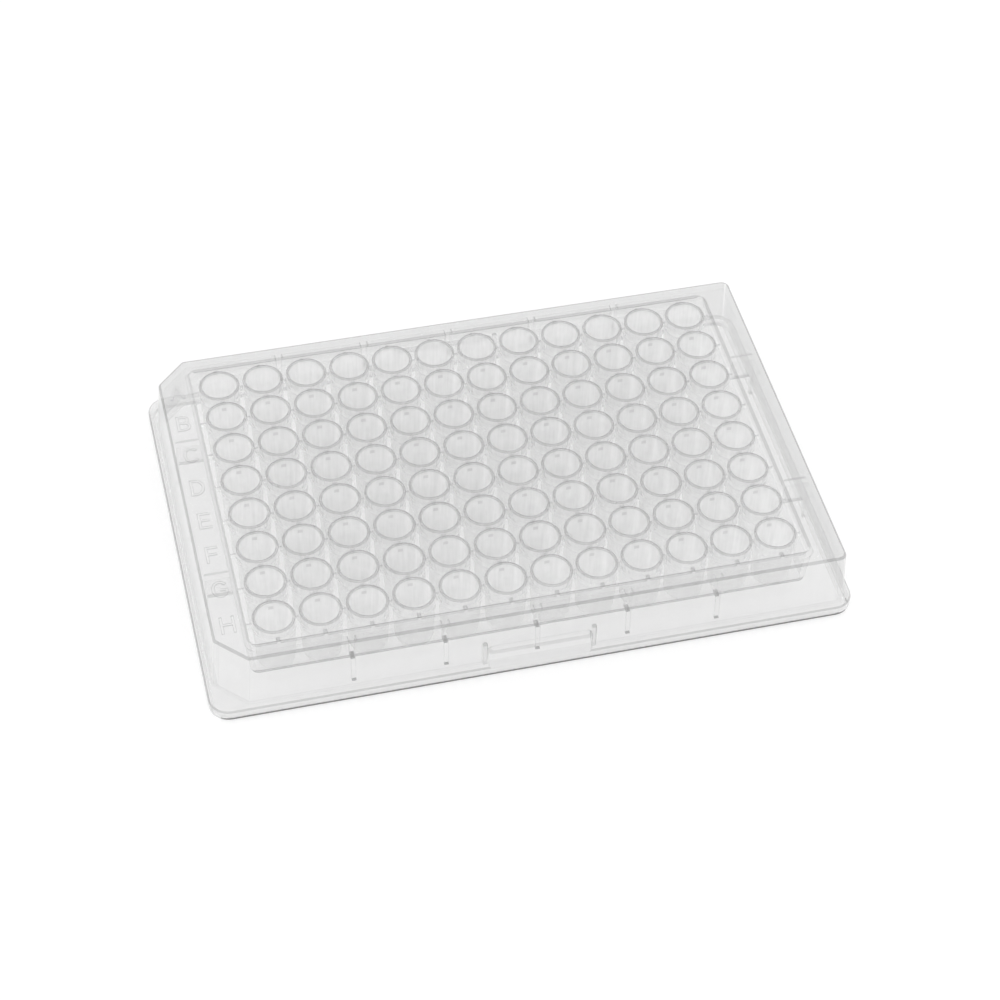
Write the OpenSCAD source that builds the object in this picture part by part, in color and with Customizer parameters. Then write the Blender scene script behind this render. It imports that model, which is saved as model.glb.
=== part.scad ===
// 96-well microplate, injection moulded in one piece from natural polypropylene.
// Origin: middle of the resting plane. +X runs from column 1 to column 12,
// +Y towards row A, +Z up. Millimetres.

/* [Footprint] */
// Length over the base flange
plate_l = 127.76; // [127:0.01:160]
// Width over the base flange
plate_w = 85.48; // [84.8:0.01:110]
// Height of the border around the wells
border_h = 14.35; // [11.9:0.05:18]
// Corner radius of the base flange
flange_r = 4; // [3:0.1:6]

/* [Skirt] */
// Wall thickness of the skirt, the apron and both decks
wall = 1; // [0.6:0.05:1.3]
// Height of the base flange
flange_h = 2.41; // [1.8:0.01:4]
// Width of the flange's ledge in front of the skirt
ledge_w = 1.53; // [1.2:0.01:2.5]
// How far the skirt leans in from the ledge to the border
skirt_draft = 0.8; // [0.2:0.05:1.2]
// Radius of the skirt's right-hand corners at the border
skirt_r = 1.6; // [1.2:0.1:3]
// Length cut off each side at the skirt's two left-hand corners
chamfer = 5.75; // [2:0.05:7.5]

/* [Raised flange] */
// Length of the taller stretch in the middle of each long side
raised_l = 20.6; // [10:0.1:30]
// Height of the taller stretch
raised_h = 6.87; // [4:0.01:8]
// Width of the rib at each end of it
end_rib_w = 0.9; // [0.5:0.05:1.5]
// How far the rib stands out from the skirt
end_rib_out = 0.5; // [0.3:0.05:0.7]
// Height of the rib's top
end_rib_h = 8; // [7:0.1:9]

/* [Wells] */
// Number of columns
columns = 12; // [2:1:12]
// Number of rows
rows = 8; // [2:1:8]
// Distance between neighbouring wells
pitch = 9; // [8.2:0.05:9.3]
// Inner diameter of a well's mouth
well_d = 7; // [5:0.1:8]
// How far a well's wall leans in from its mouth to its floor
well_lean = 0.35; // [0.1:0.05:0.8]
// Inner depth of a well
well_depth = 10.9; // [8:0.1:11.5]
// Length of the mouth's straight stretch
mouth_h = 2.6; // [1.5:0.1:5]
// Wall thickness of a well
well_wall = 0.65; // [0.4:0.05:0.8]
// Thickness of a well's floor
floor_t = 1; // [0.5:0.05:1.2]
// Radius inside the edge of a well's floor
floor_r = 0.5; // [0.2:0.05:1]
// Height of the rims above the border
rim_rise = 0.5; // [0.2:0.05:0.76]

/* [Well field] */
// Depth of the well field's deck below the border
field_drop = 1.35; // [0.8:0.05:2.5]
// Space between the outer wells and the step up to the border
field_gap = 1.3; // [0.8:0.05:1.6]
// Radius of the step's inner corners
step_r = 1.5; // [1:0.1:3]
// How far the apron leans in from the border to its lower edge
apron_draft = 0.9; // [0.1:0.05:0.9]
// Height of the apron's lower edge above the table
apron_z = 5.4; // [3:0.1:9]
// Thickness of the low webs that join the wells
link_t = 0.8; // [0.5:0.05:1.5]
// Height of these webs above the field's deck
link_rise = 0.6; // [0.2:0.05:1.2]

/* [Border webs] */
// Number of well pitches between border webs
web_every = 2; // [1:1:4]
// Number of border webs on each side of the middle web of a long side
webs_long = 2; // [0:1:3]
// Thickness of a border web
web_t = 1.2; // [0.8:0.1:2]
// Height of a border web's lower edge above the table
web_z = 7.75; // [4:0.05:11]
// Depth of the rib that runs from a web down the skirt
rib_depth = 0.7; // [0.3:0.05:1.5]

/* [Row letters] */
// Cap height of the raised row letters
letter_h = 3.6; // [2:0.1:5]
// Stroke width of the letters
letter_t = 0.55; // [0.3:0.05:0.8]
// Height of the letters above the border
letter_rise = 0.2; // [0.1:0.05:0.4]

/* [Hidden] */
$fn = 48;
// Half sizes of the skirt's outside at the border
skirt_x = plate_l / 2 - ledge_w - skirt_draft;
skirt_y = plate_w / 2 - ledge_w - skirt_draft;
// Height over which the skirt leans
skirt_rise = border_h - flange_h;
// Well radii and levels
mouth_r = well_d / 2;
rim_r = mouth_r + well_wall;
rim_z = border_h + rim_rise;
floor_z = rim_z - well_depth;
base_z = floor_z - floor_t;
floor_edge_r = mouth_r - well_lean;
base_r = floor_edge_r + well_wall;
// Radius outside the edge of a well's floor
base_edge = floor_r + well_wall / 2;
field_z = border_h - field_drop;
// Half sizes of the step at the border
step_x = (columns - 1) / 2 * pitch + rim_r + field_gap;
step_y = (rows - 1) / 2 * pitch + rim_r + field_gap;
apron_rise = border_h - apron_z;
flange_floor = flange_h - wall;
// Share of an inset by which a 45 degree chamfer gets shorter
mitre = 2 - sqrt(2);

// Half size of the skirt's outside at height z, given its half size at the border
function skirt_at(half, z) = half + skirt_draft * (border_h - z) / skirt_rise;

// Half size of the apron's inside at height z, given its half size at the border
function apron_at(half, z) = half - apron_draft * (border_h - z) / apron_rise;

// Flat rounded rectangle with true arcs at its corners
module rounded_rect(half_x, half_y, r) {
    square([2 * (half_x - r), 2 * half_y], center = true);
    square([2 * half_x, 2 * (half_y - r)], center = true);
    for (sx = [-1, 1], sy = [-1, 1])
        translate([sx * (half_x - r), sy * (half_y - r)]) circle(r);
}

// Prism along Y whose two sides lean in by lean over its height
module leaning_prism(half, lean, h, run) {
    rotate([90, 0, 0])
        linear_extrude(height = run, center = true)
            polygon([[-half - lean, 0], [half + lean, 0], [half, h], [-half, h]]);
}

// Block whose four sides lean, given by its half sizes at the top
module leaning_box(half_x, half_y, lean, h) {
    intersection() {
        leaning_prism(half_x, lean, h, 3 * half_y);
        rotate(90) leaning_prism(half_y, lean, h, 3 * half_x);
    }
}

// What rounding takes off the leaning corner in the +X +Y quadrant
module corner_waste(half_x, half_y, r, lean, h) {
    over = 1;
    extra = lean * over / h;
    translate([half_x - r, half_y - r, -over])
        difference() {
            cube([r + abs(lean) + 1, r + abs(lean) + 1, h + 2 * over]);
            translate([0, 0, -over])
                cylinder(h = h + 4 * over, r1 = r + lean + 2 * extra, r2 = r - 2 * extra);
        }
}

// What a leaning 45 degree chamfer takes off the corner in the +X +Y quadrant
module chamfer_waste(half_x, half_y, cut, lean, h) {
    reach = (half_x + half_y - cut) / sqrt(2);
    rotate(45)
        rotate([90, 0, 0])
            linear_extrude(height = 2 * half_y, center = true)
                polygon([[reach + lean * (h + 1) / h, -1], [reach + 20, -1],
                         [reach + 20, h + 1], [reach - lean / h, h + 1]]);
}

// Skirt's solid form between two heights, inset from its outside:
// rounded corners on the right, chamfered ones on the left
module skirt_block(inset, bottom, top) {
    x = skirt_at(skirt_x, top) - inset;
    y = skirt_at(skirt_y, top) - inset;
    r = skirt_at(skirt_r, top) - inset;
    h = top - bottom;
    lean = skirt_draft * h / skirt_rise;
    translate([0, 0, bottom])
        difference() {
            leaning_box(x, y, lean, h);
            for (back = [0, 1])
                mirror([0, back, 0]) {
                    corner_waste(x, y, r, lean, h);
                    mirror([1, 0, 0]) chamfer_waste(x, y, chamfer - mitre * inset, lean, h);
                }
        }
}

// Apron's solid form between two heights, offset from its inside:
// two leaning prisms with a cone in each corner
module apron_block(offset, bottom, top) {
    x = apron_at(step_x, top) + offset;
    y = apron_at(step_y, top) + offset;
    r = apron_at(step_r, top) + offset;
    h = top - bottom;
    lean = -apron_draft * h / apron_rise;
    translate([0, 0, bottom]) {
        leaning_prism(x, lean, h, 2 * (y - r));
        rotate(90) leaning_prism(y, lean, h, 2 * (x - r));
        for (sx = [-1, 1], sy = [-1, 1])
            translate([sx * (x - r), sy * (y - r), 0]) cylinder(h = h, r1 = r + lean, r2 = r);
    }
}

// Base flange, hollow underneath so that plates stack
module flange() {
    difference() {
        linear_extrude(height = flange_h) rounded_rect(plate_l / 2, plate_w / 2, flange_r);
        translate([0, 0, -1])
            linear_extrude(height = flange_floor + 1)
                rounded_rect(plate_l / 2 - wall, plate_w / 2 - wall, flange_r - wall);
        skirt_block(wall, 0, flange_h + 1);
    }
}

// Taller stretch in the middle of the long side at +Y, with a rib at each end
module raised_flange() {
    depth = plate_w / 2 - skirt_y;
    translate([-raised_l / 2, skirt_y, flange_floor])
        cube([raised_l, depth, raised_h - flange_floor]);
    for (side = [-1, 1])
        translate([side * (raised_l + end_rib_w) / 2 - end_rib_w / 2, skirt_y, flange_floor])
            cube([end_rib_w, skirt_draft + end_rib_out, end_rib_h - flange_floor]);
}

// Skirt, border and apron: the body that carries the well field
module body() {
    difference() {
        union() {
            skirt_block(0, flange_floor, border_h);
            flange();
            for (back = [0, 1]) mirror([0, back, 0]) raised_flange();
        }
        skirt_block(wall, flange_floor - 1, border_h - wall);
        apron_block(0, border_h - 2 * wall, border_h + 1);
    }
    difference() {
        apron_block(wall, apron_z, border_h);
        apron_block(0, apron_z - 1, border_h + 1);
    }
    apron_block(wall / 2, field_z - wall, field_z);
}

// Web across the border's underside, from the apron to the skirt at +Y,
// with a rib that runs down the skirt to the flange
module border_web(step, skirt) {
    top = border_h - wall / 2;
    rib = wall + rib_depth;
    rotate([90, 0, 90])
        linear_extrude(height = web_t, center = true)
            polygon([[apron_at(step, web_z) + wall / 2, web_z],
                     [apron_at(step, top) + wall / 2, top],
                     [skirt_at(skirt, top) - wall / 2, top],
                     [skirt_at(skirt, flange_h) - wall / 2, flange_h],
                     [skirt_at(skirt, flange_h) - rib, flange_h],
                     [skirt_at(skirt, web_z) - rib, web_z]]);
}

// Webs under all four sides of the border
module border_webs() {
    spacing = web_every * pitch;
    for (back = [0, 1], k = [-webs_long:webs_long])
        mirror([0, back, 0])
            translate([k * spacing, 0, 0]) border_web(step_y, skirt_y);
    for (side = [90, -90], k = [-1, 1])
        translate([0, k * spacing, 0])
            rotate(side) border_web(step_x, skirt_x);
}

// Low webs between the rims, one line for each row and each column
module links() {
    low = field_z - wall / 2;
    high = field_z + link_rise;
    run_x = 2 * (apron_at(step_x, low) + wall / 2);
    run_y = 2 * (apron_at(step_y, low) + wall / 2);
    for (r = [0:rows - 1])
        translate([-run_x / 2, row_y(r) - link_t / 2, low]) cube([run_x, link_t, high - low]);
    for (c = [0:columns - 1])
        translate([column_x(c) - link_t / 2, -run_y / 2, low]) cube([link_t, run_y, high - low]);
}

function column_x(c) = (c - (columns - 1) / 2) * pitch;
function row_y(r) = ((rows - 1) / 2 - r) * pitch;

// Outside of one well, with a full round at the rim and a rounded floor edge
module well_outside() {
    lip = well_wall / 2;
    rotate_extrude() {
        polygon([[0, base_z], [base_r - base_edge, base_z], [base_r, base_z + base_edge],
                 [rim_r, rim_z - mouth_h], [rim_r, rim_z - lip], [0, rim_z - lip]]);
        translate([base_r - base_edge, base_z + base_edge]) circle(base_edge);
        translate([rim_r - lip, rim_z - lip]) circle(lip);
    }
}

// Space inside one well: straight at the mouth, then tapered to a rounded floor
module well_space() {
    rotate_extrude() {
        polygon([[0, floor_z], [floor_edge_r - floor_r, floor_z], [floor_edge_r, floor_z + floor_r],
                 [mouth_r, rim_z - mouth_h], [mouth_r, rim_z + 1], [0, rim_z + 1]]);
        translate([floor_edge_r - floor_r, floor_z + floor_r]) circle(floor_r);
    }
}

// One well's solid or space at every place of the grid
module at_wells() {
    for (r = [0:rows - 1], c = [0:columns - 1])
        translate([column_x(c), row_y(r), 0]) children();
}

// Straight stroke of a letter from a to b
module stroke(a, b) {
    d = b - a;
    translate(a)
        rotate(atan2(d[1], d[0]))
            translate([-letter_t / 2, -letter_t / 2]) square([norm(d) + letter_t, letter_t]);
}

// Half ring of a letter, open to the left, or to the right where side is -1
module bow(centre, r, side) {
    translate(centre)
        intersection() {
            difference() {
                circle(r + letter_t / 2);
                circle(r - letter_t / 2);
            }
            translate([side * letter_h, 0]) square(2 * letter_h, center = true);
        }
}

// Flat row letter, centred, drawn with plain strokes
module letter(i) {
    t = (letter_h - letter_t) / 2;
    w = t * 0.7;
    if (i == 0) {
        stroke([-w, -t], [0, t]);
        stroke([w, -t], [0, t]);
        stroke([-w / 2, -t / 3], [w / 2, -t / 3]);
    }
    if (i == 1 || i == 3 || i == 4 || i == 5 || i == 7) stroke([-w, -t], [-w, t]);
    if (i == 1) {
        for (y = [-t, 0, t]) stroke([-w, y], [w - t / 2, y]);
        for (y = [-t / 2, t / 2]) bow([w - t / 2, y], t / 2, 1);
    }
    if (i == 2 || i == 6) {
        bow([w - t / 2, 0], t, -1);
        for (y = [-t, t]) stroke([w - t / 2, y], [w - t / 4, y]);
    }
    if (i == 3) {
        for (y = [-t, t]) stroke([-w, y], [w - t, y]);
        bow([w - t, 0], t, 1);
    }
    if (i == 4 || i == 5) {
        for (y = [0, t]) stroke([-w, y], [w * 0.8, y]);
    }
    if (i == 4) stroke([-w, -t], [w * 0.8, -t]);
    if (i == 6) {
        stroke([w, -t], [w, 0]);
        stroke([w / 4, 0], [w, 0]);
    }
    if (i == 7) {
        stroke([w, -t], [w, t]);
        stroke([-w, 0], [w, 0]);
    }
}

// Raised letters on the left border, one beside each row
module row_letters() {
    for (r = [0:rows - 1])
        translate([-(step_x + skirt_x) / 2, row_y(r), border_h - wall / 2])
            linear_extrude(height = letter_rise + wall / 2) letter(r);
}

// The whole plate
module plate() {
    color([0.86, 0.88, 0.88, 0.6])
        difference() {
            union() {
                body();
                border_webs();
                links();
                at_wells() well_outside();
                row_letters();
            }
            at_wells() well_space();
        }
}

plate();
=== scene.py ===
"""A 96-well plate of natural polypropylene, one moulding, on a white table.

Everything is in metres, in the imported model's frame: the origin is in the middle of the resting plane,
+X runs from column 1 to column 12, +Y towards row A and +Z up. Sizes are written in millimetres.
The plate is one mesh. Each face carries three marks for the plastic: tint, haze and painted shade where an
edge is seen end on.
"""

import math

import bmesh
import bpy
from mathutils import Matrix, Vector


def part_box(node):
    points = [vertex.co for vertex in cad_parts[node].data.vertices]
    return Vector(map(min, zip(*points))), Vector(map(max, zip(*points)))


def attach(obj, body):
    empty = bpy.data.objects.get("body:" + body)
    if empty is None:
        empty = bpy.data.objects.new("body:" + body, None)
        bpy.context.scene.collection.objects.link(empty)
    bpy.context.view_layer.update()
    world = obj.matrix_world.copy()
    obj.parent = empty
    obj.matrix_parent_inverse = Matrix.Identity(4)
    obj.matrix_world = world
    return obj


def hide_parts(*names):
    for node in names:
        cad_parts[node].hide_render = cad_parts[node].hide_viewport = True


MM = 0.001

# ---------------------------------------------------------------- sizes, in millimetres
# Skirt, border and apron
BORDER_H = 14.35
WALL = 1.0
FLANGE_H, FLANGE_R = 2.41, 4.0
LEDGE_W, SKIRT_DRAFT, SKIRT_R = 1.53, 0.8, 1.6
CHAMFER, CHAMFER_R = 5.75, 1.0
APRON_Z, APRON_DRAFT, STEP_R = 5.4, 0.9, 1.5
FIELD_Z = 13.0
# Wells
COLUMNS, ROWS, PITCH = 12, 8, 9.0
MOUTH_R, FLOOR_IN_R, WELL_WALL = 3.5, 3.15, 0.65
MOUTH_H, WELL_DEPTH, FLOOR_T, FLOOR_R = 2.6, 10.9, 1.0, 0.5
FIELD_GAP = 1.3
# Low webs between the rims, and the lower end of the spot of painted shade inside a mouth where a web meets
# the wall
LINK_T, LINK_RISE, LINK_LEAN, SPOT_Z = 0.8, 0.6, 0.05, 12.75
# Webs under the border, one for every two wells, and the raised stretch of flange with its end ribs
WEB_T, WEB_FOOT_T, WEB_Z, RIB_DEPTH, WEB_EVERY, WEBS_LONG = 1.2, 0.9, 7.75, 0.7, 2, 2
RAISED_L, RAISED_H, END_RIB_W, END_RIB_OUT, END_RIB_H = 20.6, 6.87, 0.9, 0.5, 8.0
# Row letters
LETTER_H, LETTER_T, LETTER_RISE, LETTER_SINK = 3.6, 0.55, 0.2, 0.3
# Moulded edges: the flange's, the border's, the step's, the foot's, the raised flange's, and inner fillets
EDGE, TOP_EDGE, STEP_EDGE, FOOT_EDGE, RAISED_EDGE, FILLET = 0.3, 0.45, 0.45, 0.45, 0.5, 0.3
# Small chamfers: the end ribs', the low webs' and the letters'
END_RIB_EDGE, LINK_EDGE, LETTER_EDGE = 0.15, 0.12, 0.08
# The raised flange starts this far out from the skirt's half size at the border, in the leaning wall
RAISED_START = 0.3
# Height of the band at the foot that is painted dark: painted shade where the wall shows its own lower
# edge, and at the front a painted contact shadow
FOOT_BAND = 0.7
# Mesh fineness: segments round a well, of half a corner, of a rounded edge and of a letter's bow
ROUND, HALF_CORNER, EDGE_STEPS, BOW_STEPS = 44, 5, 3, 10


# ---------------------------------------------------------------- the plastic and the light
# Light that a face lets straight through: the outer faces carry the colour of the whole wall
WELL_TINT, SHELL_TINT, FLANGE_TINT, DECK_TINT, INNER_TINT = 0.995, 0.865, 0.93, 0.92, 0.995
# Share of true refraction, and its roughness
GLASS, GLASS_ROUGH, POLYPROPYLENE_IOR = 0.02, 0.15, 1.49
# Reflection square on and at a grazing angle, how steeply it grows, and its roughness
FACE_GLINT, GLINT, GLINT_RISE, GLOSS_ROUGH = 0.04, 0.6, 5.0, 0.25
# Haze at a grazing angle. Square on it is this share squared
WELL_HAZE, DECK_HAZE, APRON_HAZE, SHELL_HAZE, INNER_HAZE = 0.62, 0.42, 0.25, 0.3, 0.1
# How steeply the haze grows towards a grazing angle, its white, the share it passes on, and its roughness
HAZE_RISE, HAZE_WHITE, HAZE_THROUGH, HAZE_ROUGH = 2.0, 0.97, 0.35, 0.3
# Fine upright streaks and broad clouds in the haze: strength, scale, and how far the streaks are drawn out
STREAK, STREAK_SCALE, STREAK_DRAWN = 0.35, 900.0, 0.06
CLOUD, CLOUD_SCALE = 0.35, 160.0
# Painted shade on edges seen end on, for the dark lines that refraction draws there: its clear and hazy
# greys and the share of haze, then how much painted shade each kind of edge gets
EDGE_SHADE_CLEAR, EDGE_SHADE_GREY, EDGE_SHADE_MIX = 0.2, 0.25, 0.5
RIM_DARK, EDGE_DARK, STEP_DARK, STEP_LEFT_DARK = 0.3, 0.32, 0.24, 0.16
# The front of the foot gets the most painted shade, as a painted contact shadow; the front of the apron's
# lower edge and the webs along a column get more than the rest, as seen from the front
LEDGE_DARK, FOOT_DARK, FOOT_FAR_DARK, FOOT_INNER_DARK = 0.3, 0.7, 0.1, 0.05
APRON_FRONT_DARK, APRON_DARK = 0.7, 0.1
RAISED_DARK, END_RIB_DARK, END_RIB_TOP_DARK = 0.18, 0.12, 0.35
ROW_LINK_DARK, COLUMN_LINK_DARK, LINK_SPOT_DARK = 0.08, 0.3, 0.26
WEB_DARK, SIDE_WEB_DARK, WEB_NECK_DARK, LETTER_DARK = 0.7, 0.3, 0.25, 0.28
FAINT_DARK = 0.1
# Lamp light that each wall lets through to the table
WALL_SHADE = 0.94
# Table and lamp, in metres and watts
TABLE_HALF, TABLE_WHITE, TABLE_GLOW = 3.0, 0.95, 0.4
LAMP_WATTS, LAMP_SIZE, LAMP_DISTANCE = 3.5, 0.6, 1.2
# Smooth shading runs over edges flatter than this, in degrees
SMOOTH_ANGLE = 40


# ---------------------------------------------------------------- telling faces apart
# Slack in a face's place: usual, and least, in millimetres
SLACK, HAIR = 0.05, 0.02
# An edge's faces lie within this height of the edge
ZONE = 1.0
# The foot's inner rounding lies further in than this
FOOT_MIDDLE = 0.72
# A strip of a rounding is narrower than this, and turns from its neighbours by an angle in this range
STRIP_W, STRIP_TURN = 0.4, (22, 40)
# The share of a face's normal along z, where it is no longer upright, slanted, and flat
TILTED, SLANTED, FLAT = 0.2, 0.5, 0.9


# ---------------------------------------------------------------- frame
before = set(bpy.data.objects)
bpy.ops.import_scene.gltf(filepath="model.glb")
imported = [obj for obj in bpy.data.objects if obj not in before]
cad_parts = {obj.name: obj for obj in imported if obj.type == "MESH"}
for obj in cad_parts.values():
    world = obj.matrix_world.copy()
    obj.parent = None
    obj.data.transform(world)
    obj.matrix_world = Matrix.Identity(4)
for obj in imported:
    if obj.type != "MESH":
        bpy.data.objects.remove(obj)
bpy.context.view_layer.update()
low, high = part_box("plate")
PLATE_L, PLATE_W = (high.x - low.x) / MM, (high.y - low.y) / MM
RIM_Z = high.z / MM

SKIRT_X = PLATE_L / 2 - LEDGE_W - SKIRT_DRAFT
SKIRT_Y = PLATE_W / 2 - LEDGE_W - SKIRT_DRAFT
RIM_R = MOUTH_R + WELL_WALL
STEP_X = (COLUMNS - 1) / 2 * PITCH + RIM_R + FIELD_GAP
STEP_Y = (ROWS - 1) / 2 * PITCH + RIM_R + FIELD_GAP


def skirt_at(half, z):
    """Half size of the skirt's outside at height z, given its half size at the border."""
    return half + SKIRT_DRAFT * (BORDER_H - z) / (BORDER_H - FLANGE_H)


def apron_at(half, z):
    """Half size of the apron's inside at height z, given its half size at the border."""
    return half - APRON_DRAFT * (BORDER_H - z) / (BORDER_H - APRON_Z)


def well_places():
    """Centres of the 96 wells."""
    return [
        ((c - (COLUMNS - 1) / 2) * PITCH, ((ROWS - 1) / 2 - r) * PITCH)
        for r in range(ROWS)
        for c in range(COLUMNS)
    ]


# ---------------------------------------------------------------- mesh tools
def mesh_object(name, verts, faces):
    """A mesh object from vertices in millimetres. The faces are given turned outwards."""
    mesh = bpy.data.meshes.new(name)
    mesh.from_pydata([(x * MM, y * MM, z * MM) for x, y, z in verts], [], faces)
    obj = bpy.data.objects.new(name, mesh)
    bpy.context.collection.objects.link(obj)
    return obj


def arc(cx, cy, r, start, end, steps):
    """Points of an arc, both ends included. Angles are in degrees."""
    angles = [math.radians(start + (end - start) * i / steps) for i in range(steps + 1)]
    return [(cx + r * math.cos(a), cy + r * math.sin(a)) for a in angles]


def outline(half_x, half_y, r, cut=None):
    """Rounded rectangle, anticlockwise from the front right. With cut, its left corners are chamfered."""
    steps = 2 * HALF_CORNER + 1
    points = []
    for quarter, (sx, sy) in enumerate([(1, -1), (1, 1), (-1, 1), (-1, -1)]):
        start = 90 * quarter - 90
        if cut is None or sx > 0:
            points += arc(sx * (half_x - r), sy * (half_y - r), r, start, start + 90, steps)
            continue
        bend = CHAMFER_R * math.tan(math.radians(22.5))
        on_long = (-half_x + cut + bend, sy * (half_y - CHAMFER_R))
        on_short = (-half_x + CHAMFER_R, sy * (half_y - cut - bend))
        bends = [on_long, on_short] if sy > 0 else [on_short, on_long]
        for (cx, cy), turn in zip(bends, (0, 45)):
            points += arc(cx, cy, CHAMFER_R, start + turn, start + turn + 45, HALF_CORNER)
    return points


def flange_ring(inset, z):
    """Outline of the base flange, inset from its outside."""
    return [(x, y, z) for x, y in outline(PLATE_L / 2 - inset, PLATE_W / 2 - inset, FLANGE_R - inset)]


def skirt_ring(inset, z):
    """Outline of the skirt at height z, inset from its outside."""
    cut = CHAMFER - (2 - math.sqrt(2)) * inset
    x, y, r = (skirt_at(v, z) - inset for v in (SKIRT_X, SKIRT_Y, SKIRT_R))
    return [(px, py, z) for px, py in outline(x, y, r, cut)]


def step_ring(offset, z):
    """Outline of the apron at height z, offset outwards from its inside."""
    x, y, r = (apron_at(v, z) + offset for v in (STEP_X, STEP_Y, STEP_R))
    return [(px, py, z) for px, py in outline(x, y, r)]


def loft(name, rings, closed=False):
    """Skin over rings of as many points each. It is a tube closed end to end, or is capped at both ends."""
    n = len(rings[0])
    verts = [p for ring in rings for p in ring]
    faces = []
    for i in range(len(rings) if closed else len(rings) - 1):
        a, b = i * n, (i + 1) % len(rings) * n
        faces += [(a + j, a + (j + 1) % n, b + (j + 1) % n, b + j) for j in range(n)]
    if not closed:
        faces += [tuple(reversed(range(n))), tuple(range(len(verts) - n, len(verts)))]
    return mesh_object(name, verts, faces)


def prism(name, corners, depth, turn=Matrix()):
    """Corners given as (x, z), swept by depth across y, then turned."""
    rings = [[turn @ Vector((x, side * depth / 2, z)) for x, z in corners] for side in (1, -1)]
    return loft(name, rings)


def lathe(profile, places, name):
    """One closed turned shape, given as (r, z) from axis to axis, at every place."""
    verts, faces = [], []
    inner = profile[1:-1]
    for cx, cy in places:
        base = len(verts)
        for r, z in inner:
            verts += [
                (cx + r * math.cos(math.tau * k / ROUND), cy + r * math.sin(math.tau * k / ROUND), z)
                for k in range(ROUND)
            ]
        for i in range(len(inner) - 1):
            a, b = base + i * ROUND, base + (i + 1) * ROUND
            faces += [(a + k, a + (k + 1) % ROUND, b + (k + 1) % ROUND, b + k) for k in range(ROUND)]
        first, last = len(verts), len(verts) + 1
        verts += [(cx, cy, profile[0][1]), (cx, cy, profile[-1][1])]
        top = base + (len(inner) - 1) * ROUND
        faces += [(first, base + (k + 1) % ROUND, base + k) for k in range(ROUND)]
        faces += [(last, top + k, top + (k + 1) % ROUND) for k in range(ROUND)]
    return mesh_object(name, verts, faces)


def combine(target, operation, parts):
    """Unites the parts with target, or cuts them from it."""
    for part in parts:
        mod = target.modifiers.new(operation, "BOOLEAN")
        mod.operation, mod.solver, mod.object = operation, "MANIFOLD", part
    graph = bpy.context.evaluated_depsgraph_get()
    done = bpy.data.meshes.new_from_object(target.evaluated_get(graph))
    target.modifiers.clear()
    target.data = done
    for part in parts:
        bpy.data.objects.remove(part)


# ---------------------------------------------------------------- the moulding
def rounded(ring, inset, z, sense_in, sense_up, r):
    """Rings of one rounded edge of radius r, upright at (inset, z). Senses are 1 for inwards and up."""
    rings = []
    for i in range(EDGE_STEPS + 1):
        a = math.pi / 2 * i / EDGE_STEPS
        rings.append(ring(inset + sense_in * r * (1 - math.cos(a)), z + sense_up * r * math.sin(a)))
    return rings


def make_body():
    """Flange, skirt, border and apron: one closed profile that runs all the way round."""
    e, f, s = EDGE, FILLET, STEP_EDGE
    under = BORDER_H - WALL
    apron_foot_r = 0.9 * WALL / 2
    apron_foot = APRON_Z + apron_foot_r
    rings = []
    rings += rounded(flange_ring, 0, FLANGE_H - e, 1, 1, e)
    rings += reversed(rounded(skirt_ring, 0, FLANGE_H + f, -1, -1, f))
    rings += rounded(skirt_ring, 0, BORDER_H - TOP_EDGE, 1, 1, TOP_EDGE)
    rings += reversed(rounded(step_ring, 0, BORDER_H - s, 1, 1, s))
    rings += rounded(step_ring, 0, apron_foot, 1, -1, apron_foot_r)
    rings += reversed(rounded(step_ring, WALL, apron_foot, -1, -1, apron_foot_r))
    rings += rounded(step_ring, WALL, under - f, 1, 1, f)
    rings += reversed(rounded(skirt_ring, WALL, under - f, 1, 1, f))
    rings += [skirt_ring(WALL, FLANGE_H - WALL + e), skirt_ring(WALL - e, FLANGE_H - WALL)]
    rings += [flange_ring(WALL + f, FLANGE_H - WALL), flange_ring(WALL, FLANGE_H - WALL - f)]
    rings += rounded(flange_ring, WALL, e, -1, -1, e)
    rings += reversed(rounded(flange_ring, 0, FOOT_EDGE, 1, -1, FOOT_EDGE))
    rings.append(flange_ring(0, FOOT_BAND))
    return loft("plate_moulding", rings, closed=True)


def make_deck():
    """The well field's deck, sunk inside the apron."""
    inside = WALL / 2
    return loft("deck", [step_ring(inside, FIELD_Z - WALL), step_ring(inside, FIELD_Z)])


def make_links():
    """Low webs between the rims, one line for each row and each column."""
    below, above = FIELD_Z - WALL / 2, FIELD_Z + LINK_RISE
    half_low, half_top, soft = LINK_T / 2, LINK_T / 2 - LINK_LEAN, LINK_EDGE
    section = [
        (-half_low, below),
        (half_low, below),
        (half_top, above - soft),
        (half_top - soft, above),
        (soft - half_top, above),
        (-half_top, above - soft),
    ]
    run_x, run_y = (2 * apron_at(half, below) + WALL for half in (STEP_X, STEP_Y))
    parts = []
    for c in range(COLUMNS):
        x = (c - (COLUMNS - 1) / 2) * PITCH
        parts.append(prism("link", section, run_y, Matrix.Translation((x, 0, 0))))
    for r in range(ROWS):
        y = ((ROWS - 1) / 2 - r) * PITCH
        turn = Matrix.Translation((0, y, 0)) @ Matrix.Rotation(math.pi / 2, 4, "Z")
        parts.append(prism("link", section, run_x, turn))
    return parts


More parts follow.
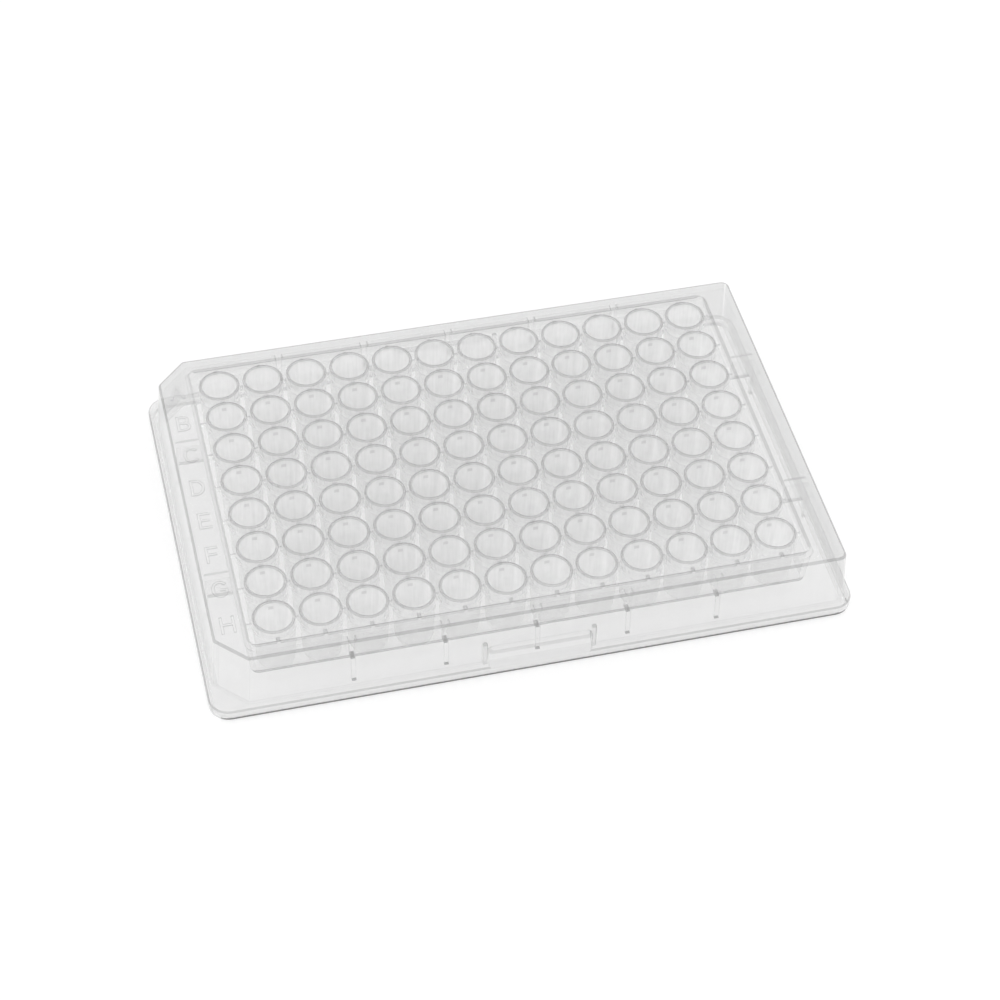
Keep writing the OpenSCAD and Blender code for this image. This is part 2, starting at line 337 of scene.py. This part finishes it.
def make_border_web(step, skirt, turn):
    """Web from the apron to the skirt, thicker at its top, and the rib that runs on down the skirt."""
    half, neck = WALL / 2, BORDER_H - WALL - FILLET
    top, under = BORDER_H - half, BORDER_H - WALL
    foot, mid = WEB_FOOT_T / 2, WEB_T / 2
    section = [
        (-foot, WEB_Z),
        (foot, WEB_Z),
        (mid, neck),
        (mid + FILLET, under),
        (mid + FILLET, top),
        (-mid - FILLET, top),
        (-mid - FILLET, under),
        (-mid, neck),
    ]
    at_apron = [turn @ Vector((apron_at(step, z) + half, y, z)) for y, z in section]
    at_skirt = [turn @ Vector((skirt_at(skirt, z) - half, y, z)) for y, z in section]
    rib = WALL + RIB_DEPTH
    corners = [
        (skirt_at(skirt, FLANGE_H) - rib, FLANGE_H),
        (skirt_at(skirt, FLANGE_H) - half, FLANGE_H),
        (skirt_at(skirt, neck) - half, neck),
        (skirt_at(skirt, neck) - rib, neck),
    ]
    return [loft("border_web", [at_apron, at_skirt]), prism("rib", corners, WEB_FOOT_T, turn)]


def make_border_webs():
    """Webs under all four sides of the border."""
    parts = []
    spacing = WEB_EVERY * PITCH
    for side in (-1, 1):
        for k in range(-WEBS_LONG, WEBS_LONG + 1):
            turn = Matrix.Translation((k * spacing, 0, 0)) @ Matrix.Rotation(side * math.pi / 2, 4, "Z")
            parts += make_border_web(STEP_Y, SKIRT_Y, turn)
        for k in (-1, 1):
            turn = Matrix.Translation((0, k * spacing, 0))
            turn = turn @ Matrix.Rotation(0 if side > 0 else math.pi, 4, "Z")
            parts += make_border_web(STEP_X, SKIRT_X, turn)
    return parts


def soft_block(name, span_x, span_y, span_z, soft):
    """Block whose upright and top edges are chamfered by soft."""
    z0, z1 = span_z

    def ring(inset, z):
        (a, b), (c, d) = ((lo + inset, hi - inset) for lo, hi in (span_x, span_y))
        front = [(a + soft, c, z), (b - soft, c, z)]
        right = [(b, c + soft, z), (b, d - soft, z)]
        back = [(b - soft, d, z), (a + soft, d, z)]
        left = [(a, d - soft, z), (a, c + soft, z)]
        return front + right + back + left

    return loft(name, [ring(0, z0), ring(0, z1 - soft), ring(soft, z1)])


def make_raised_flanges():
    """Taller stretch of the flange in the middle of each long side, with a rib at each end."""
    parts = []
    floor = FLANGE_H - WALL
    in_skirt, rib_face = SKIRT_Y + RAISED_START, SKIRT_Y + SKIRT_DRAFT + END_RIB_OUT
    half = RAISED_L / 2
    for side in (-1, 1):
        span_y = sorted((side * in_skirt, side * PLATE_W / 2))
        parts.append(soft_block("raised_flange", (-half, half), span_y, (floor, RAISED_H), RAISED_EDGE))
        span_y = sorted((side * in_skirt, side * rib_face))
        for end in (-1, 1):
            x = end * (RAISED_L + END_RIB_W) / 2
            span_x = (x - END_RIB_W / 2, x + END_RIB_W / 2)
            parts.append(soft_block("end_rib", span_x, span_y, (floor, END_RIB_H), END_RIB_EDGE))
    return parts


def letter_strokes(letter):
    """Strokes of a row letter, as lines of points in units of its height."""
    def bow(cx, cy, rx, ry, start, end):
        return [(cx + rx * x, cy + ry * y) for x, y in arc(0, 0, 1, start, end, BOW_STEPS)]

    stem = [(0, 0), (0, 1)]
    return {
        "A": [[(0, 0), (0.35, 1), (0.7, 0)], [(0.12, 0.35), (0.58, 0.35)]],
        "B": [stem, [(0, 1), *bow(0.3, 0.76, 0.26, 0.24, 90, -90), (0, 0.52)],
              [(0, 0.52), *bow(0.34, 0.26, 0.28, 0.26, 90, -90), (0, 0)]],
        "C": [bow(0.36, 0.5, 0.36, 0.5, 45, 315)],
        "D": [stem, [(0, 1), *bow(0.22, 0.5, 0.42, 0.5, 90, -90), (0, 0)]],
        "E": [[(0.56, 1), (0, 1), (0, 0), (0.56, 0)], [(0, 0.52), (0.48, 0.52)]],
        "F": [[(0.56, 1), (0, 1), (0, 0)], [(0, 0.52), (0.48, 0.52)]],
        "G": [[*bow(0.38, 0.5, 0.38, 0.5, 45, 340), (0.74, 0.45), (0.44, 0.45)]],
        "H": [stem, [(0.64, 0), (0.64, 1)], [(0, 0.52), (0.64, 0.52)]],
    }[letter]


def make_stroke(points):
    """Raised bar along a line of points on the border, with chamfered edges."""
    line = [Vector(p) for p in points]
    half, soft = LETTER_T / 2, LETTER_EDGE
    z0, z1 = BORDER_H - LETTER_SINK, BORDER_H + LETTER_RISE
    foot = [(-half, z0), (half, z0)]
    section = foot + [(half, z1 - soft), (half - soft, z1), (soft - half, z1), (-half, z1 - soft)]
    past_end = 0.8 * half
    line[0] -= (line[1] - line[0]).normalized() * past_end
    line[-1] += (line[-1] - line[-2]).normalized() * past_end
    rings = []
    for i, point in enumerate(line):
        ahead = (line[min(i + 1, len(line) - 1)] - point).normalized()
        behind = (point - line[max(i - 1, 0)]).normalized()
        along = (ahead + behind).normalized()
        side = Vector((-along.y, along.x))
        side_behind = Vector((-behind.y, behind.x)) if i else side
        mitre = 1 / max(side.dot(side_behind), 0.5)
        rings.append([(*(point + side * across * mitre), z) for across, z in section])
    return loft("stroke", rings)


def make_letters():
    """Row letters A to H, raised on the left border."""
    parts = []
    middle = -(STEP_X + SKIRT_X) / 2
    for row, letter in enumerate("ABCDEFGH"):
        strokes = letter_strokes(letter)
        width = max(x for stroke in strokes for x, y in stroke)
        left = middle - width / 2 * LETTER_H
        foot = ((ROWS - 1) / 2 - row) * PITCH - LETTER_H / 2
        for stroke in strokes:
            parts.append(make_stroke([(left + x * LETTER_H, foot + y * LETTER_H) for x, y in stroke]))
    return parts


def cup_profile():
    """Half section of a well, from the axis under its floor, over the rim and down to the axis inside."""
    lip = WELL_WALL / 2
    floor_z = RIM_Z - WELL_DEPTH
    base_z = floor_z - FLOOR_T
    base_r = FLOOR_IN_R + WELL_WALL
    edge = FLOOR_R + lip
    points = [(0, base_z)]
    points += arc(base_r - edge, base_z + edge, edge, -90, 0, EDGE_STEPS)
    points.append((RIM_R, RIM_Z - MOUTH_H))
    points += arc(RIM_R - lip, RIM_Z - lip, lip, 0, 180, 2 * EDGE_STEPS)
    points += [(MOUTH_R, FIELD_Z + LINK_RISE), (MOUTH_R, SPOT_Z), (MOUTH_R, RIM_Z - MOUTH_H)]
    points += arc(FLOOR_IN_R - FLOOR_R, floor_z + FLOOR_R, FLOOR_R, 0, -90, EDGE_STEPS)
    points.append((0, floor_z))
    return points


def make_plate():
    """The whole moulding as one closed mesh."""
    places = well_places()
    body = make_body()
    field = [make_deck(), *make_links()]
    combine(body, "UNION", field + make_border_webs() + make_raised_flanges() + make_letters())
    # Plugs open the deck and the low webs where a well goes through
    mid_wall, below, above = MOUTH_R + WELL_WALL / 2, FIELD_Z - 2, RIM_Z + 1
    plug = [(0, below), (mid_wall, below), (mid_wall, above), (0, above)]
    combine(body, "DIFFERENCE", [lathe(plug, places, "plugs")])
    combine(body, "UNION", [lathe(cup_profile(), places, "wells")])
    return body


def soften(obj):
    """Smooth shading, except over sharp edges, with flat faces kept flat."""
    obj.data.shade_smooth()
    obj.data.set_sharp_from_angle(angle=math.radians(SMOOTH_ANGLE))
    mod = obj.modifiers.new("flat faces stay flat", "WEIGHTED_NORMAL")
    mod.keep_sharp = True


def mark_faces(obj):
    """Marks on each face what the material needs: light let through, haze and painted shade where an edge
    is seen end on.
    """
    mesh = obj.data
    work = bmesh.new()
    work.from_mesh(mesh)
    layers = [work.faces.layers.float.new(name) for name in ("tint", "haze", "edge")]
    for face in work.faces:
        for layer, value in zip(layers, marks(face, face.calc_center_median() / MM)):
            face[layer] = value
    work.to_mesh(mesh)
    work.free()


def marks(face, centre):
    """Tint, haze and painted edge shade of one face."""
    z, up = centre.z, face.normal.z
    if in_well(face):
        if z > FIELD_Z and outside_mouth(centre):
            return DECK_TINT, DECK_HAZE, well_darkness(face, centre)
        return WELL_TINT, WELL_HAZE, well_darkness(face, centre)
    if in_field(centre):
        if abs(up) < SLANTED:
            return INNER_TINT, APRON_HAZE, link_darkness(centre)
        return DECK_TINT if up > 0 else INNER_TINT, DECK_HAZE, link_darkness(centre)
    if in_cavity(centre):
        return INNER_TINT, APRON_HAZE, web_darkness(centre, up)
    if z > BORDER_H + HAIR:
        # The letters' sides and chamfers get painted shade
        return SHELL_TINT, SHELL_HAZE, LETTER_DARK if up < FLAT else 0.0
    if FLANGE_H < z < END_RIB_H + 2 * SLACK and on_raised_flange(centre):
        return SHELL_TINT, SHELL_HAZE, raised_darkness(centre, up)
    # Painted shade on the foot band and on the strips of rounded edges
    edge = edge_darkness(centre, face.normal) if z < FOOT_BAND or is_rounding(face) else 0.0
    if z < FLANGE_H + HAIR / 2:
        return FLANGE_TINT, SHELL_HAZE, edge
    if beyond_apron(centre) < WALL + SLACK and z < BORDER_H - 2 * SLACK:
        return INNER_TINT if z < FIELD_Z else SHELL_TINT, APRON_HAZE, edge
    inner = up < -SLANTED or beyond_skirt(centre) < -WALL / 2
    if inner and z < BORDER_H - WALL / 2:
        return INNER_TINT, INNER_HAZE, edge
    return SHELL_TINT, SHELL_HAZE, edge


def well_darkness(face, point):
    """Painted shade on the rim, and on the spot inside a mouth where the web to the next row meets the
    wall.
    """
    if point.z > FIELD_Z + LINK_RISE and is_rounding(face):
        return RIM_DARK
    row, (across, along) = nearest_well(point)[1], from_well(point)
    to_next = row < (ROWS - 1) / 2 if along > 0 else row > -(ROWS - 1) / 2
    on_web = abs(across) < LINK_T / 2 and SPOT_Z < point.z < FIELD_Z + LINK_RISE
    inside = math.hypot(across, along) < MOUTH_R + HAIR
    return LINK_SPOT_DARK if to_next and on_web and inside else 0.0


def web_darkness(point, up):
    """Painted shade on a border web: its lower edge most, and the neck under the border a little."""
    if up < -FLAT:
        return SIDE_WEB_DARK if abs(point.x) > STEP_X else WEB_DARK
    return WEB_NECK_DARK if point.z > BORDER_H - WALL - FILLET else 0.0


def on_raised_flange(point):
    """True on the raised stretch of the flange and on its end ribs, outside the skirt."""
    in_length = abs(point.x) < RAISED_L / 2 + END_RIB_W + SLACK
    return in_length and abs(point.y) > skirt_at(SKIRT_Y, point.z) + SLACK


def raised_darkness(point, up):
    """Painted shade on the raised flange's edges and on the rib at each of its ends."""
    if abs(point.x) > RAISED_L / 2:
        return END_RIB_TOP_DARK if up > TILTED else END_RIB_DARK
    return RAISED_DARK if TILTED < up < FLAT else 0.0


def link_darkness(point):
    """Painted shade on a low web between the rims: those along a column get more, as they are seen end on
    from the front.
    """
    if not HAIR < point.z - FIELD_Z < LINK_RISE + HAIR:
        return 0.0
    on_column = abs(from_well(point)[0]) < LINK_T / 2 + SLACK
    return COLUMN_LINK_DARK if on_column else ROW_LINK_DARK


def is_rounding(face):
    """True for a narrow strip of a rounded outer edge."""
    if 2 * face.calc_area() / face.calc_perimeter() > STRIP_W * MM:
        return False
    least, most = (math.radians(turn) for turn in STRIP_TURN)
    return any(least < edge.calc_face_angle_signed(0) < most for edge in face.edges)


def nearest_well(point):
    """Column and row of the well nearest to a point, in pitches from the middle of the plate."""
    return round(point.x / PITCH - 0.5) + 0.5, round(point.y / PITCH - 0.5) + 0.5


def from_well(point):
    """A point's distances along X and Y from the axis of the well nearest to it."""
    column, row = nearest_well(point)
    return point.x - column * PITCH, point.y - row * PITCH


def in_well(face):
    """True if all corners of a face lie on or inside the outer wall of the same well."""
    points = [vert.co / MM for vert in face.verts]
    wells = {nearest_well(point) for point in points}
    if any(math.hypot(*from_well(point)) > RIM_R + HAIR for point in points):
        return False
    return len(wells) == 1 and all(abs(c) < COLUMNS / 2 and abs(r) < ROWS / 2 for c, r in wells)


def outside_mouth(point):
    """True on the outer side of the mouth wall of the nearest well."""
    return math.hypot(*from_well(point)) > MOUTH_R + 2 * SLACK


def beyond(point, half_x, half_y):
    """How far a point lies outside a rectangle. It is below 0 inside."""
    return max(abs(point.x) - half_x, abs(point.y) - half_y)


def beyond_apron(point):
    """How far a point lies outside the apron's inside. It is below 0 inside."""
    return beyond(point, apron_at(STEP_X, point.z), apron_at(STEP_Y, point.z))


def beyond_skirt(point):
    """How far a point lies outside the skirt's outside, cut corners included. It is below 0 inside."""
    half_x, half_y = skirt_at(SKIRT_X, point.z), skirt_at(SKIRT_Y, point.z)
    square = beyond(point, half_x, half_y)
    if point.x > 0:
        return square
    return max(square, (abs(point.x) + abs(point.y) - half_x - half_y + CHAMFER) / math.sqrt(2))


def in_field(point):
    """True inside the apron."""
    return beyond_apron(point) < -SLACK


def in_cavity(point):
    """True between the apron and the skirt, under the border, where only the webs are."""
    between = beyond_apron(point) > WALL + SLACK and beyond_skirt(point) < -WALL - SLACK
    return between and FLANGE_H < point.z < BORDER_H - WALL - 2 * SLACK


def edge_darkness(point, normal):
    """Painted shade on a rounded edge: the front of the foot most, as a painted contact shadow, and the
    inner sides of edges least.
    """
    z = point.z
    if z < ZONE:
        return foot_darkness(point, normal)
    if z < FLANGE_H + ZONE:
        return LEDGE_DARK
    if beyond(point, STEP_X, STEP_Y) < WALL + SLACK:
        return apron_darkness(point, normal)
    return EDGE_DARK if z > BORDER_H - ZONE and normal.z > 0 else FAINT_DARK


def foot_darkness(point, normal):
    """Painted shade on the foot's edges and on the band above its outer edge, most at the front as a
    painted contact shadow.
    """
    if beyond(point, PLATE_L / 2, PLATE_W / 2) < -FOOT_MIDDLE:
        return FOOT_INNER_DARK
    front = point.y < FLANGE_R - PLATE_W / 2 and abs(normal.x) < abs(normal.y) + HAIR / 2
    return FOOT_DARK if front else FOOT_FAR_DARK


def apron_darkness(point, normal):
    """Painted shade on the apron's lower edge, most at the front, and on the step's edge at its top, less
    on its left side.
    """
    if point.z < APRON_Z + ZONE:
        if normal.z > -FLAT:
            return FAINT_DARK
        return APRON_FRONT_DARK if point.y < -apron_at(STEP_Y, point.z) else APRON_DARK
    if point.z < BORDER_H - ZONE:
        return 0.0
    return STEP_LEFT_DARK if normal.x > abs(normal.y) else STEP_DARK


# ---------------------------------------------------------------- materials
class Nodes:
    """Short ways to add shader nodes to one tree."""

    def __init__(self, tree):
        self.tree = tree
        tree.nodes.clear()

    def give(self, socket, value):
        """Sets a socket to a number or a grey, or links it to another socket."""
        if isinstance(value, bpy.types.NodeSocket):
            self.tree.links.new(value, socket)
        elif socket.type == "RGBA":
            socket.default_value = (value, value, value, 1)
        else:
            socket.default_value = value

    def add(self, kind, **inputs):
        """A node with some of its sockets given, by name."""
        node = self.tree.nodes.new(kind)
        for key, value in inputs.items():
            self.give(node.inputs[key.replace("_", " ")], value)
        return node

    def shader(self, kind, **inputs):
        """A shader with some of its sockets given, by name."""
        return self.add("ShaderNode" + kind, **inputs).outputs[0]

    def maths(self, operation, first, second):
        """A number worked out from two others."""
        node = self.tree.nodes.new("ShaderNodeMath")
        node.operation = operation
        self.give(node.inputs[0], first)
        self.give(node.inputs[1], second)
        return node.outputs[0]

    def between(self, share, first, second):
        """A number that goes from first to second as share goes from 0 to 1."""
        return self.add("ShaderNodeMapRange", Value=share, To_Min=first, To_Max=second).outputs["Result"]

    def grey(self, share, first, second):
        """A grey that goes from first to second as share goes from 0 to 1."""
        level = self.between(share, first, second)
        return self.add("ShaderNodeCombineColor", Red=level, Green=level, Blue=level).outputs[0]

    def mix(self, share, first, second):
        """A shader that goes from first to second as share goes from 0 to 1."""
        node = self.tree.nodes.new("ShaderNodeMixShader")
        for socket, value in zip(node.inputs, (share, first, second)):
            self.give(socket, value)
        return node.outputs[0]

    def face_mark(self, name):
        """One of the marks that the faces carry."""
        node = self.tree.nodes.new("ShaderNodeAttribute")
        node.attribute_name = name
        return node.outputs["Fac"]


def make_polypropylene():
    """Natural polypropylene: clear walls with a haze inside, and painted shade where an edge is seen end
    on.
    """
    material = bpy.data.materials.new("natural_polypropylene")
    material.use_nodes = True
    n = Nodes(material.node_tree)
    tint, haze_side, edge = (n.face_mark(name) for name in ("tint", "haze", "edge"))
    facing = n.add("ShaderNodeLayerWeight", Blend=0.5).outputs["Facing"]
    outside = n.maths("SUBTRACT", 1.0, n.tree.nodes.new("ShaderNodeNewGeometry").outputs["Backfacing"])

    straight = n.shader("BsdfTransparent", Color=n.grey(tint, 0.0, 1.0))
    gloss = n.shader("BsdfGlossy", Color=1.0, Roughness=GLOSS_ROUGH)
    glint = n.between(n.maths("POWER", facing, GLINT_RISE), FACE_GLINT, GLINT)
    wall = n.mix(n.maths("MULTIPLY", glint, outside), straight, gloss)
    glass = n.shader("BsdfPrincipled", Base_Color=1.0, Transmission_Weight=1.0,
                     Roughness=GLASS_ROUGH, IOR=POLYPROPYLENE_IOR)
    wall = n.mix(GLASS, wall, glass)

    body = n.shader("BsdfPrincipled", Base_Color=HAZE_WHITE, Roughness=HAZE_ROUGH)
    through = n.shader("BsdfTranslucent", Color=HAZE_WHITE)
    haze = n.mix(HAZE_THROUGH, body, through)
    least = n.maths("MULTIPLY", n.maths("MULTIPLY", haze_side, haze_side), make_streaks(n))
    grazing = n.maths("POWER", facing, HAZE_RISE)
    wall = n.mix(n.between(grazing, least, haze_side), wall, haze)

    # Painted shade for edges seen end on: a dark clear grey and a dim hazy grey, mixed in by the edge mark
    dark = n.shader("BsdfTransparent", Color=EDGE_SHADE_CLEAR)
    hazy_shade = n.shader("BsdfTranslucent", Color=EDGE_SHADE_GREY)
    wall = n.mix(edge, wall, n.mix(EDGE_SHADE_MIX, dark, hazy_shade))

    lamp_light = n.shader("BsdfTransparent", Color=WALL_SHADE)
    shadow = n.tree.nodes.new("ShaderNodeLightPath").outputs["Is Shadow Ray"]
    out = n.tree.nodes.new("ShaderNodeOutputMaterial")
    n.tree.links.new(n.mix(shadow, wall, lamp_light), out.inputs["Surface"])
    return material


def make_streaks(n):
    """1 on average, a little more or less in fine upright streaks and broad clouds."""
    place = n.tree.nodes.new("ShaderNodeTexCoord").outputs["Object"]
    drawn = n.add("ShaderNodeVectorMath", Vector=place)
    drawn.operation = "MULTIPLY"
    drawn.inputs[1].default_value = (1, 1, STREAK_DRAWN)
    fine = n.add("ShaderNodeTexNoise", Vector=drawn.outputs[0], Scale=STREAK_SCALE, Detail=3.0).outputs[0]
    broad = n.add("ShaderNodeTexNoise", Vector=place, Scale=CLOUD_SCALE, Detail=4.0).outputs[0]
    both = n.maths("ADD", n.between(fine, 1 - STREAK, 1 + STREAK), n.between(broad, -CLOUD, CLOUD))
    return n.maths("MAXIMUM", both, 0.0)


def seen_directly(n):
    """1 for camera, glossy and transmission rays, else 0."""
    path = n.tree.nodes.new("ShaderNodeLightPath")
    first = n.maths("MAXIMUM", path.outputs["Is Camera Ray"], path.outputs["Is Glossy Ray"])
    return n.maths("MAXIMUM", first, path.outputs["Is Transmission Ray"])


def make_floor():
    """White table: matt under the light, and part of it glows white for what sees it directly."""
    mesh = bpy.data.meshes.new("table")
    corners = [(x * TABLE_HALF, y * TABLE_HALF, 0) for x, y in ((-1, -1), (1, -1), (1, 1), (-1, 1))]
    mesh.from_pydata(corners, [], [(0, 1, 2, 3)])
    table = bpy.data.objects.new("table", mesh)
    bpy.context.collection.objects.link(table)
    material = bpy.data.materials.new("table_white")
    material.use_nodes = True
    n = Nodes(material.node_tree)
    matt = n.shader("BsdfDiffuse", Color=TABLE_WHITE)
    glow = n.shader("Emission", Color=1.0)
    out = n.tree.nodes.new("ShaderNodeOutputMaterial")
    seen = n.maths("MULTIPLY", seen_directly(n), TABLE_GLOW)
    n.tree.links.new(n.mix(seen, matt, glow), out.inputs["Surface"])
    table.data.materials.append(material)


def make_world():
    """Even white light from all round."""
    world = bpy.data.worlds.new("studio")
    bpy.context.scene.world = world
    world.use_nodes = True
    n = Nodes(world.node_tree)
    white = n.shader("Background", Color=1.0, Strength=1.0)
    out = n.tree.nodes.new("ShaderNodeOutputWorld")
    n.tree.links.new(white, out.inputs["Surface"])


# ---------------------------------------------------------------- camera and lamp
TARGET = Vector((2.34, 0.53, 1.04)) * MM
AZIMUTH, ELEVATION, ROLL = (math.radians(angle) for angle in (14.97, 47.35, 1.954))
LEVEL, DOWN = math.cos(ELEVATION), -math.sin(ELEVATION)
FORWARD = Vector((math.sin(AZIMUTH) * LEVEL, math.cos(AZIMUTH) * LEVEL, DOWN))
CAMERA_DISTANCE, LENS, SENSOR = 0.5245, 92.71, 36.0


def look_along(obj, distance, roll=0.0):
    """Puts a camera or lamp on the line of sight, at a distance from the target."""
    obj.rotation_mode = "QUATERNION"
    rolled = Matrix.Rotation(roll, 3, "Z").to_quaternion()
    obj.rotation_quaternion = FORWARD.to_track_quat("-Z", "Y") @ rolled
    obj.location = TARGET - FORWARD * distance
    bpy.context.collection.objects.link(obj)


def make_camera():
    """Looks down on the front from the left, with the plate slightly rolled."""
    data = bpy.data.cameras.new("camera")
    data.sensor_width, data.lens = SENSOR, LENS
    data.clip_start, data.clip_end = 0.01, 20.0
    camera = bpy.data.objects.new("camera", data)
    look_along(camera, CAMERA_DISTANCE, ROLL)
    bpy.context.scene.camera = camera


def make_lamp():
    """Softbox behind the camera, so that the plate's shadow falls away from it."""
    light = bpy.data.lights.new("softbox", "AREA")
    light.shape = "RECTANGLE"
    light.size, light.size_y = LAMP_SIZE, LAMP_SIZE
    light.energy = LAMP_WATTS
    look_along(bpy.data.objects.new("softbox", light), LAMP_DISTANCE)


scene = bpy.context.scene
scene.view_settings.view_transform = "Standard"
scene.cycles.transparent_max_bounces = 64
scene.cycles.max_bounces = 32
scene.cycles.transmission_bounces = 32
make_camera()
make_floor()
make_world()
make_lamp()

plate = make_plate()
mark_faces(plate)
soften(plate)
plate.data.materials.clear()
plate.data.materials.append(make_polypropylene())
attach(plate, "root")
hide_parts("plate")
print("plate triangles", sum(len(p.vertices) - 2 for p in plate.data.polygons))
